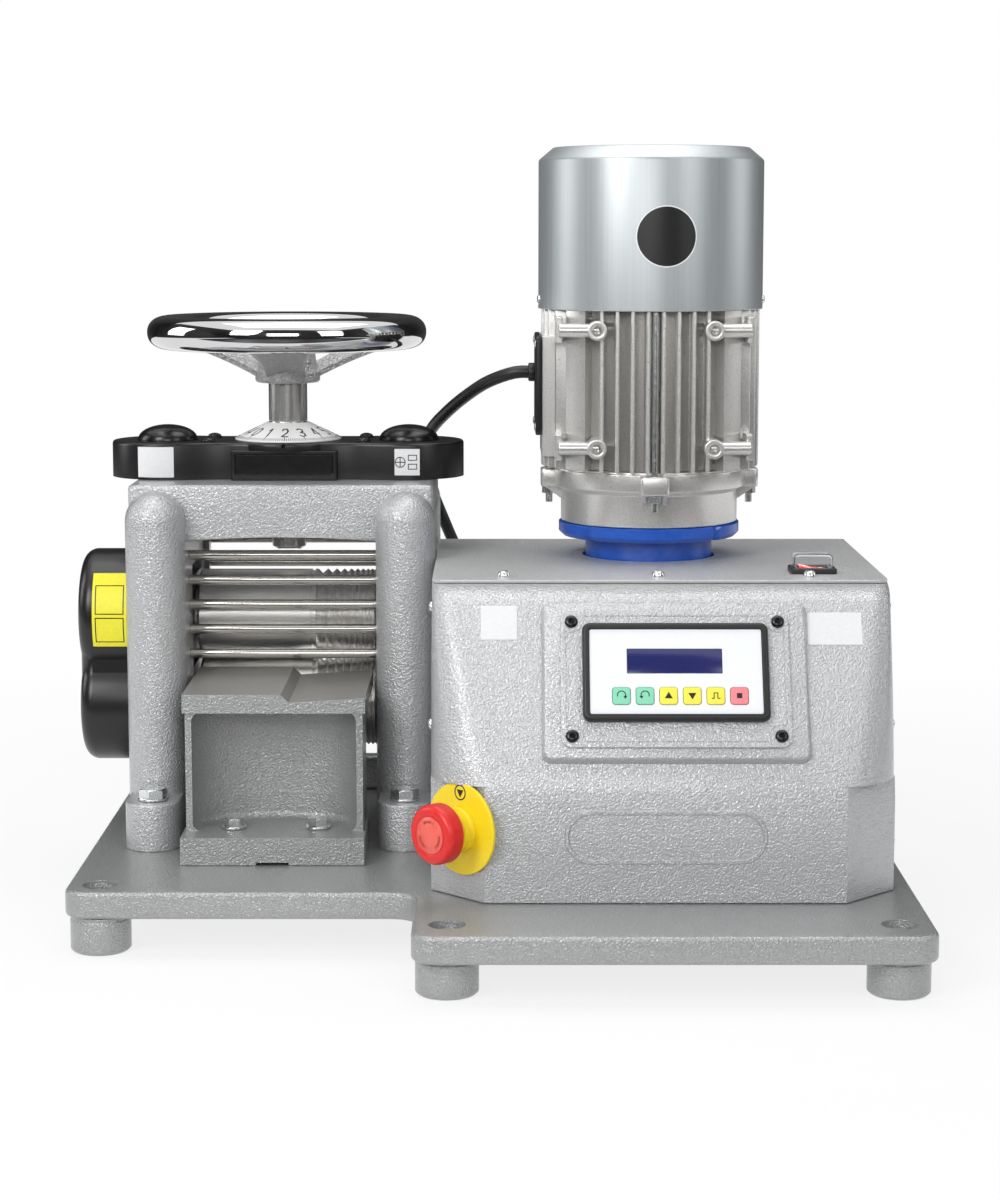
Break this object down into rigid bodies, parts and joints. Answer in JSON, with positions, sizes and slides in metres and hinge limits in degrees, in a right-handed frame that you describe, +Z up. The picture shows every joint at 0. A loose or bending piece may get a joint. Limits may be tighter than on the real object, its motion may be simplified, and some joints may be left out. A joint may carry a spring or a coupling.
{
  "type": "motor-driven rolling mill",
  "caption": "Bench rolling mill for jewellers: plain and wire-grooved rolls in a cast frame, handwheel roll gap, control housing with an upright finned motor.",
  "frame": {"origin": "middle of the footprint, on the floor under the feet", "axes": "+X along the rolls towards the motor side, +Y from the operator's side to the back, +Z up"},
  "size_m": [0.5752, 0.492, 0.5283],
  "materials": {
    "hammertone": "grey hammertone paint",
    "lid_paint": "fine grey hammertone paint",
    "roll_steel": "ground and polished hard steel",
    "bright_steel": "turned bright steel",
    "chrome": "polished chrome rim, rough hub and spokes",
    "cast_steel": "oiled machined iron",
    "black_paint": "satin black paint",
    "black_plastic": "black moulded plastic",
    "cast_aluminium": "die-cast, unpainted",
    "galvanised": "bright zinc-plated sheet",
    "gearbox_paint": "blue gloss paint",
    "red_plastic": "red moulded plastic",
    "yellow_plastic": "yellow plastic disc with a black collar",
    "dial_plastic": "white, with printed scale",
    "keypad_film": "white membrane keypad with a dark display",
    "key_green": "mint green key",
    "key_yellow": "yellow key",
    "key_pink": "pink key",
    "zinc": "zinc-plated bolt",
    "cable_rubber": "black rubber sheath"
  },
  "bodies": {
    "machine": {"base_plate": "hammertone", "foot_front_left": "hammertone", "foot_front_middle": "hammertone", "foot_front_right": "hammertone", "foot_rear_left": "hammertone", "foot_rear_right": "hammertone", "mill_frame": "hammertone", "frame_bolt_left": "zinc", "frame_bolt_right": "zinc", "table_bolt_left": "zinc", "table_bolt_right": "zinc", "lower_chock_left": "cast_steel", "lower_chock_right": "cast_steel", "top_cover": "black_paint", "side_gear_cover": "black_paint", "guard_rod_1": "bright_steel", "guard_rod_2": "bright_steel", "guard_rod_3": "bright_steel", "guard_rod_4": "bright_steel", "guard_rod_5": "bright_steel", "rear_guard": "bright_steel", "feed_table": "hammertone", "front_cover": "hammertone", "housing_lid": "lid_paint", "panel_plate": "hammertone", "panel_bezel": "black_plastic", "keypad": "keypad_film", "stop_plate": "yellow_plastic", "switch_bezel": "black_plastic", "gearbox": "gearbox_paint", "end_shield": "cast_aluminium", "motor_body": "cast_aluminium", "terminal_cover": "black_plastic", "fan_cover": "galvanised", "motor_cable": "cable_rubber"},
    "handwheel_shaft": {"handwheel": "chrome", "spindle": "bright_steel", "dial": "dial_plastic"},
    "upper_carriage": {"upper_chock_left": "cast_steel", "upper_chock_right": "cast_steel"},
    "screw_left": {"pressure_screw_left": "bright_steel", "screw_gear_left": "cast_steel"},
    "screw_right": {"pressure_screw_right": "bright_steel", "screw_gear_right": "cast_steel"},
    "idler_left": {"idler_gear_left": "cast_steel"},
    "idler_right": {"idler_gear_right": "cast_steel"},
    "lower_roll_shaft": {"lower_roll": "roll_steel", "lower_roll_gear": "cast_steel", "drive_coupling": "cast_steel"},
    "upper_roll_shaft": {"upper_roll": "roll_steel", "upper_roll_gear": "cast_steel"},
    "rotor": {"motor_rotor": "black_plastic"},
    "stop_knob": {"stop_button": "red_plastic"},
    "rocker": {"switch_rocker": "red_plastic"},
    "forward_key": {"key_forward": "key_green"},
    "reverse_key": {"key_reverse": "key_green"},
    "up_key": {"key_up": "key_yellow"},
    "down_key": {"key_down": "key_yellow"},
    "monitor_key": {"key_monitor": "key_yellow"},
    "stop_key": {"key_stop": "key_pink"}
  },
  "joints": [
    {"name": "handwheel_turn", "type": "hinge", "parent": "machine", "child": "handwheel_shaft", "pos_m": [-0.13735, 0.106, 0.3613], "axis": [0, 0, 1], "range_deg": [0, 2160]},
    {"name": "roll_gap", "type": "slide", "parent": "machine", "child": "upper_carriage", "axis": [0, 0, 1], "range_m": [0, 0.006]},
    {"name": "screw_left_turn", "type": "hinge", "parent": "upper_carriage", "child": "screw_left", "pos_m": [-0.22535, 0.106, 0.26], "axis": [0, 0, 1], "range_deg": [0, 1440]},
    {"name": "screw_right_turn", "type": "hinge", "parent": "upper_carriage", "child": "screw_right", "pos_m": [-0.04935, 0.106, 0.26], "axis": [0, 0, 1], "range_deg": [0, 1440]},
    {"name": "idler_left_turn", "type": "hinge", "parent": "machine", "child": "idler_left", "pos_m": [-0.17585, 0.106, 0.3], "axis": [0, 0, 1], "range_deg": [-2880, 0]},
    {"name": "idler_right_turn", "type": "hinge", "parent": "machine", "child": "idler_right", "pos_m": [-0.09885, 0.106, 0.3], "axis": [0, 0, 1], "range_deg": [-2880, 0]},
    {"name": "motor_spin", "type": "hinge", "parent": "machine", "child": "rotor", "pos_m": [0.12315, 0.056, 0.45], "axis": [0, 0, 1], "continuous": true},
    {"name": "lower_roll_spin", "type": "hinge", "parent": "machine", "child": "lower_roll_shaft", "pos_m": [-0.13735, 0.106, 0.1263], "axis": [1, 0, 0], "continuous": true},
    {"name": "upper_roll_spin", "type": "hinge", "parent": "upper_carriage", "child": "upper_roll_shaft", "pos_m": [-0.13735, 0.106, 0.1916], "axis": [1, 0, 0], "continuous": true},
    {"name": "stop_press", "type": "slide", "parent": "machine", "child": "stop_knob", "axis": [0.7071, 0.7071, 0], "range_m": [0, 0.004], "stiffness_N_per_m": 600, "springref_m": -0.001},
    {"name": "rocker_tip", "type": "hinge", "parent": "machine", "child": "rocker", "pos_m": [0.22815, -0.046, 0.2426], "axis": [0, 1, 0], "range_deg": [-16, 0]},
    {"name": "forward_press", "type": "slide", "parent": "machine", "child": "forward_key", "axis": [0, 0.8867, -0.4623], "range_m": [0, 0.0005], "stiffness_N_per_m": 800, "springref_m": -0.0002},
    {"name": "reverse_press", "type": "slide", "parent": "machine", "child": "reverse_key", "axis": [0, 0.8867, -0.4623], "range_m": [0, 0.0005], "stiffness_N_per_m": 800, "springref_m": -0.0002},
    {"name": "up_press", "type": "slide", "parent": "machine", "child": "up_key", "axis": [0, 0.8867, -0.4623], "range_m": [0, 0.0005], "stiffness_N_per_m": 800, "springref_m": -0.0002},
    {"name": "down_press", "type": "slide", "parent": "machine", "child": "down_key", "axis": [0, 0.8867, -0.4623], "range_m": [0, 0.0005], "stiffness_N_per_m": 800, "springref_m": -0.0002},
    {"name": "monitor_press", "type": "slide", "parent": "machine", "child": "monitor_key", "axis": [0, 0.8867, -0.4623], "range_m": [0, 0.0005], "stiffness_N_per_m": 800, "springref_m": -0.0002},
    {"name": "stop_key_press", "type": "slide", "parent": "machine", "child": "stop_key", "axis": [0, 0.8867, -0.4623], "range_m": [0, 0.0005], "stiffness_N_per_m": 800, "springref_m": -0.0002}
  ],
  "couplings": [
    {"joint": "roll_gap", "follows": "handwheel_turn", "m_per_rad": 0.00015915},
    {"joint": "screw_left_turn", "follows": "handwheel_turn", "ratio": 0.66667},
    {"joint": "screw_right_turn", "follows": "handwheel_turn", "ratio": 0.66667},
    {"joint": "idler_left_turn", "follows": "handwheel_turn", "ratio": -1.3333},
    {"joint": "idler_right_turn", "follows": "handwheel_turn", "ratio": -1.3333},
    {"joint": "lower_roll_spin", "follows": "motor_spin", "ratio": 0.033333},
    {"joint": "upper_roll_spin", "follows": "motor_spin", "ratio": -0.033333}
  ]
}
